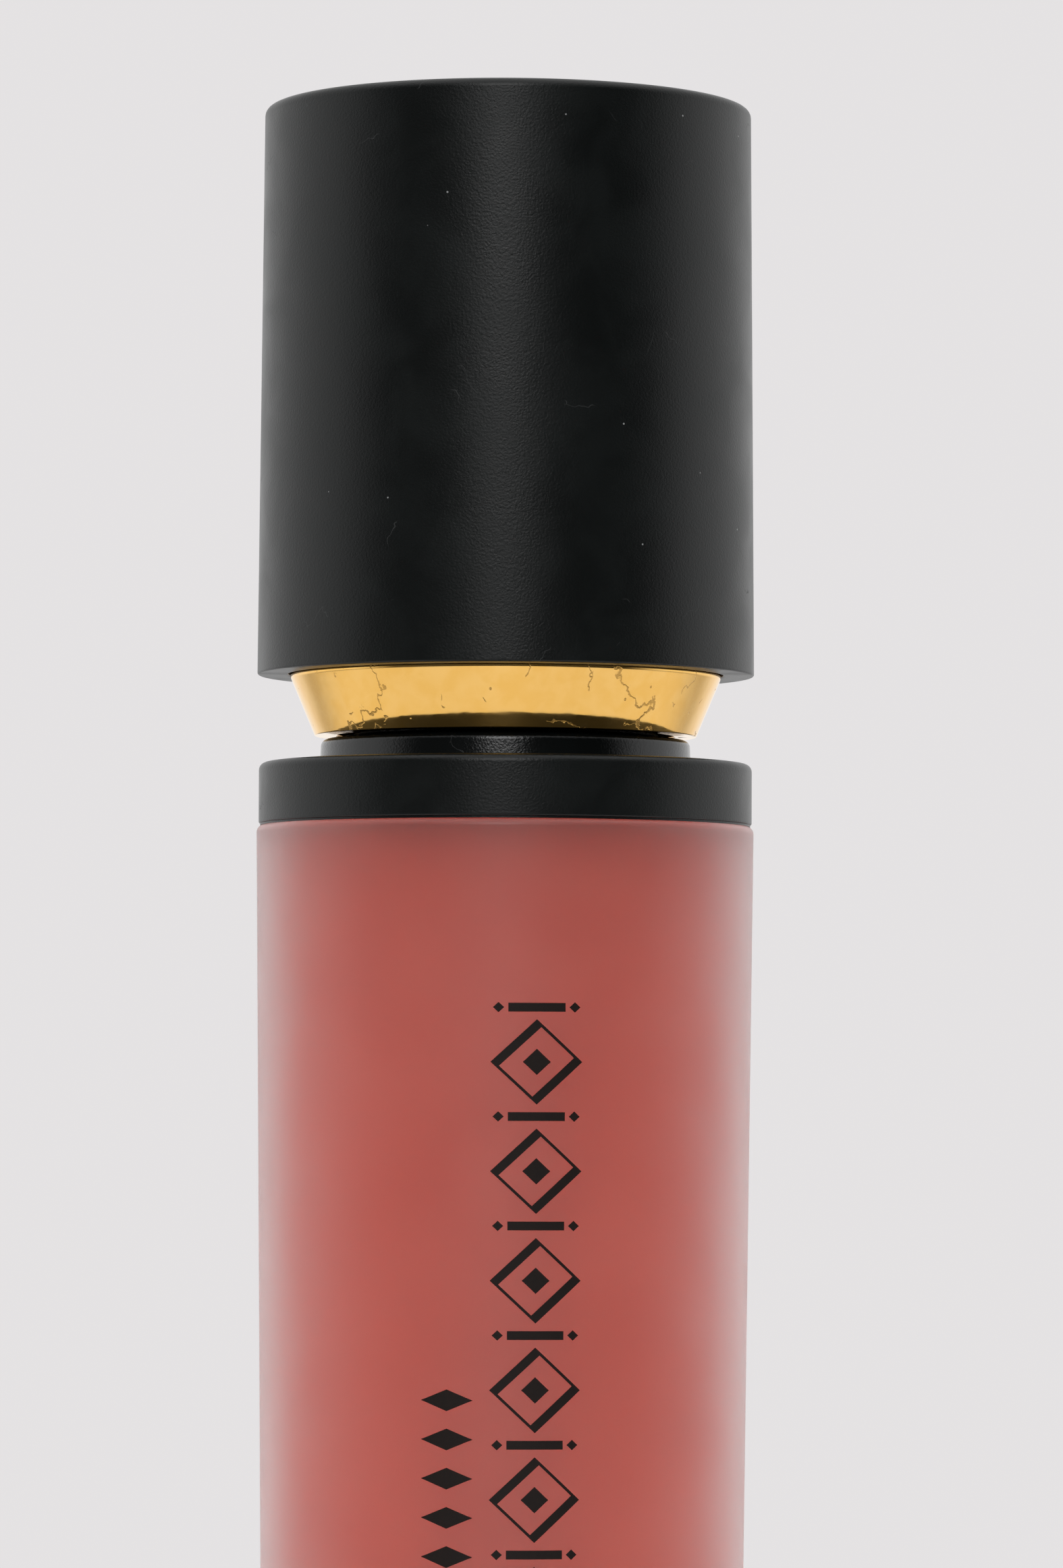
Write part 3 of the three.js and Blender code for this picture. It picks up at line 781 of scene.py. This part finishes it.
def add_fibres(bm, skin):
    """Short pointed fibres standing on the faces of a skin, each a closed solid."""
    draw = random.Random(FIBRE_SEED)
    width = FIBRE_WIDTH * MM
    flat = bmesh.ops.triangulate(bm, faces=[face for face in skin if len(face.verts) > 4])["faces"]
    faces = list(dict.fromkeys([face for face in skin if face.is_valid] + flat))
    for face in draw.choices(faces, [face.calc_area() for face in faces], k=FIBRE_COUNT):
        a, b = draw.random(), draw.random()
        if a + b > 1:
            a, b = 1 - a, 1 - b
        first, second, third = (vertex.co for vertex in face.verts[:3])
        root = first + (second - first) * a + (third - first) * b
        lean = Vector([draw.uniform(-FIBRE_LEAN, FIBRE_LEAN) for _ in "xyz"])
        along = (face.normal + lean).normalized()
        side = along.orthogonal().normalized() * width
        other = along.cross(side)
        foot = root - along * FIBRE_LENGTH * 0.2 * MM
        base = [bm.verts.new(foot + side * x + other * y) for x, y in ((1, 0), (-0.5, 0.87), (-0.5, -0.87))]
        point = bm.verts.new(root + along * FIBRE_LENGTH * draw.uniform(0.6, 0.95) * MM)
        bm.faces.new(base[::-1])
        for one, two in zip(base, base[1:] + base[:1]):
            bm.faces.new((one, two, point))


def make_applicator():
    """A slant-cut core on a peg, and the flocked sleeve over it with its fibres."""
    core_top = STEM_FOOT - FIT
    peg = 0.85
    bm = bmesh.new()
    rim = add_slanted(bm, FLOCK_THICKNESS + FIT, core_top)
    steps = len(rim)
    upper = [(peg, core_top), (peg, PEG_TOP - 0.2), (peg - 0.2, PEG_TOP), (0, PEG_TOP)]
    bridge(bm, rim, turned_rings(bm, upper, steps=steps)[0])
    bmesh.ops.recalc_face_normals(bm, faces=bm.faces)
    sharpen(bm)
    place(add_object("applicator_peg", bm), "cap", NATURAL, "natural_plastic", "applicator_core")

    bm = bmesh.new()
    outer = add_slanted(bm, FIBRE_LENGTH, TIP_TOP)
    skin = bm.faces[:]
    inner = add_slanted(bm, FLOCK_THICKNESS, TIP_TOP)
    bridge(bm, outer, inner)
    bmesh.ops.recalc_face_normals(bm, faces=bm.faces)
    sharpen(bm)
    add_fibres(bm, skin)
    place(add_object("flocked_tip", bm), "cap", FLOCK, "flock", "applicator_flocking")


# ---------------------------------------------------------------- print

# The printed border: a main column and a short second one, as (lowest, highest) distances round
# the tube from the middle of its front, and heights.
MAIN_SIDES = (-0.5, 3.15)
MAIN_ENDS = (7.4, 45.6)
MAIN_COUNT = 9
SECOND_SIDES = (-3.26, -1.17)
SECOND_ENDS = (22.0, 31.1)
SECOND_COUNT = 6
THICK_LIMB = 0.34
THIN_LIMB = 0.11
INK_PROUD = 0.02
LIMB_STEPS = 12


def on_wall(across, height, lift):
    """The point of the tube's wall at a distance round it from its front, and a height."""
    angle = across / TUBE_RADIUS
    radius = wall_radius(height) + lift
    return Vector((radius * math.sin(angle), -radius * math.cos(angle), height)) * MM


def add_ink(bm, left, right, closed=False):
    """A closed strip of ink between two rails of (across, height) points."""
    sections = []
    for a, b in zip(left, right):
        corners = ((a, -INK_PROUD), (b, -INK_PROUD), (b, INK_PROUD), (a, INK_PROUD))
        sections.append([bm.verts.new(on_wall(*point, lift)) for point, lift in corners])
    following = sections[1:] + sections[:1] if closed else sections[1:]
    for section, after in zip(sections, following):
        bridge(bm, section, after)
    if not closed:
        bm.faces.new(sections[0])
        bm.faces.new(sections[-1][::-1])


def divided(corners):
    """A closed loop of corners with extra points along each side."""
    points = []
    for start, end in zip(corners, corners[1:] + corners[:1]):
        points += [Vector(start).lerp(Vector(end), i / LIMB_STEPS) for i in range(LIMB_STEPS)]
    return points


def add_lozenge_frame(bm, middle, half_width, half_height):
    """A lozenge outline with two thick and two thin limbs, like the strokes of a broad pen."""
    outer = [Vector(middle) + Vector(corner) for corner in
             ((half_width, 0), (0, half_height), (-half_width, 0), (0, -half_height))]
    limbs = (THIN_LIMB, THICK_LIMB, THIN_LIMB, THICK_LIMB)
    lines = []
    for i, limb in enumerate(limbs):
        start, end = outer[i], outer[(i + 1) % 4]
        along = (end - start).normalized()
        lines.append((start + Vector((-along.y, along.x)) * limb, along))
    inner = []
    for i in range(4):
        (p, d), (q, e) = lines[i - 1], lines[i]
        share = (q - p).cross(e) / d.cross(e)
        inner.append(p + d * share)
    add_ink(bm, divided(outer), divided(inner), closed=True)


def add_bar(bm, middle, half_width, half_height, pointed=False):
    """A bar across the tube, or a solid lozenge where pointed."""
    lower, upper = [], []
    for i in range(LIMB_STEPS + 1):
        across = half_width * (2 * i / LIMB_STEPS - 1)
        taper = max(THINNEST, 1 - abs(across) / half_width) if pointed else 1
        half = half_height * taper
        lower.append(Vector((middle[0] + across, middle[1] - half)))
        upper.append(Vector((middle[0] + across, middle[1] + half)))
    add_ink(bm, lower, upper)


def make_print():
    """Lozenge outlines with bars between them, and a short row of small solid lozenges."""
    bm = bmesh.new()
    centre = sum(MAIN_SIDES) / 2
    half = (MAIN_SIDES[1] - MAIN_SIDES[0]) / 2
    pitch = (MAIN_ENDS[1] - MAIN_ENDS[0]) / MAIN_COUNT
    for i in range(MAIN_COUNT):
        height = MAIN_ENDS[0] + pitch * (i + 0.5)
        add_lozenge_frame(bm, (centre, height), half, pitch * 0.39)
        add_bar(bm, (centre, height), half * 0.3, pitch * 0.12, pointed=True)
    for i in range(MAIN_COUNT + 1):
        height = MAIN_ENDS[0] + pitch * i
        add_bar(bm, (centre, height), half * 0.62, 0.17)
        for side in (-1, 1):
            add_bar(bm, (centre + side * half * 0.83, height), half * 0.12, 0.2, pointed=True)
    centre = sum(SECOND_SIDES) / 2
    half = (SECOND_SIDES[1] - SECOND_SIDES[0]) / 2
    pitch = (SECOND_ENDS[1] - SECOND_ENDS[0]) / SECOND_COUNT
    for i in range(SECOND_COUNT):
        add_bar(bm, (centre, SECOND_ENDS[0] + pitch * (i + 0.5)), half, 0.42, pointed=True)
    bmesh.ops.recalc_face_normals(bm, faces=bm.faces)
    sharpen(bm)
    place(add_object("printed_border", bm), "tube", INK, "satin_black")


make_tube()
make_gloss()
make_label()
make_collar()
make_neck()
make_wiper()
make_shell()
make_trim()
make_inner_cap()
make_washer()
make_wand()
make_applicator()
make_print()


# ---------------------------------------------------------------- studio

BACKDROP = (0.78, 0.762, 0.768)


def make_world():
    """A bright surround behind and beside the object, dimmer below the horizon, a big light above,
    and dim air in front with one narrow upright light; the left is a little brighter than the right."""
    world = bpy.data.worlds.new("studio")
    world.use_nodes = True
    bpy.context.scene.world = world
    tree = world.node_tree
    background = tree.nodes["Background"]
    axes = node(tree, "SeparateXYZ", {"Vector": node(tree, "TexCoord").outputs["Generated"]}).outputs
    leaning = math_node(tree, "SUBTRACT", axes["Y"], math_node(tree, "MULTIPLY", axes["X"], 0.08))
    ground = remap(tree, axes["Z"], -0.34, -0.08, 0.35, 1.0)
    behind = math_node(tree, "MULTIPLY", remap(tree, leaning, -0.52, 0.02, 0.0, 0.96), ground)
    dim = math_node(tree, "SUBTRACT", 0.055, math_node(tree, "MULTIPLY", axes["X"], 0.03))
    above = remap(tree, axes["Z"], 0.35, 0.9, 0.0, 1.35)
    aside = math_node(tree, "ABSOLUTE", math_node(tree, "ADD", axes["X"], 0.04))
    narrow = math_node(tree, "MULTIPLY", remap(tree, aside, 0.2, 0.15), remap(tree, axes["Y"], -0.6, -0.7))
    foot, head = remap(tree, axes["Z"], 0.08, 0.27), remap(tree, axes["Z"], 0.6, 0.5)
    upright = math_node(tree, "MULTIPLY", foot, head)
    strip = math_node(tree, "MULTIPLY", math_node(tree, "MULTIPLY", narrow, upright), 4.9)
    soft = math_node(tree, "MAXIMUM", math_node(tree, "MAXIMUM", behind, above), dim)
    level = math_node(tree, "ADD", soft, strip)
    lit = node(tree, "CombineXYZ", {0: level, 1: level, 2: level}).outputs["Vector"]
    seen = node(tree, "LightPath").outputs["Is Camera Ray"]
    tree.links.new(blend_colours(tree, seen, lit, BACKDROP), background.inputs["Color"])


def make_floor():
    """A pale round floor that fades into the backdrop."""
    radius, count = 0.34, 96
    bm = bmesh.new()
    bmesh.ops.create_circle(bm, cap_ends=True, radius=radius, segments=count)
    floor = add_object("floor", bm)
    floor.location.z = -0.02 * MM
    material, tree, shader = new_material("pale_floor", Roughness=0.6)
    coords = node(tree, "TexCoord").outputs["Object"]
    distance = node(tree, "VectorMath", {0: coords}, operation="LENGTH").outputs["Value"]
    solid = remap(tree, distance, 0.27, 0.12)
    tone = noise(tree, coords, 30.0, 3.0)
    pale = blend_colours(tree, tone, (0.8, 0.79, 0.79), (0.83, 0.82, 0.82))
    tree.links.new(pale, shader.inputs["Base Color"])
    tree.links.new(solid, shader.inputs["Alpha"])
    floor.data.materials.append(material)


def make_camera():
    """A long lens a little above the middle of the tube, looking slightly up."""
    camera = bpy.data.cameras.new("camera")
    camera.lens = 164.0
    camera.sensor_width = 36.0
    camera.clip_start = 0.01
    made = bpy.data.objects.new("camera", camera)
    bpy.context.scene.collection.objects.link(made)
    pitch, roll = math.radians(2.45), math.radians(0.24)
    aim = Matrix.Rotation(math.pi / 2 + pitch, 4, "X") @ Matrix.Rotation(roll, 4, "Z")
    made.matrix_world = Matrix.Translation(Vector((1.055, -287.5, 42.4)) * MM) @ aim
    bpy.context.scene.camera = made


make_world()
make_floor()
make_camera()
bpy.context.scene.view_settings.view_transform = "Standard"
bpy.context.scene.cycles.use_denoising = True
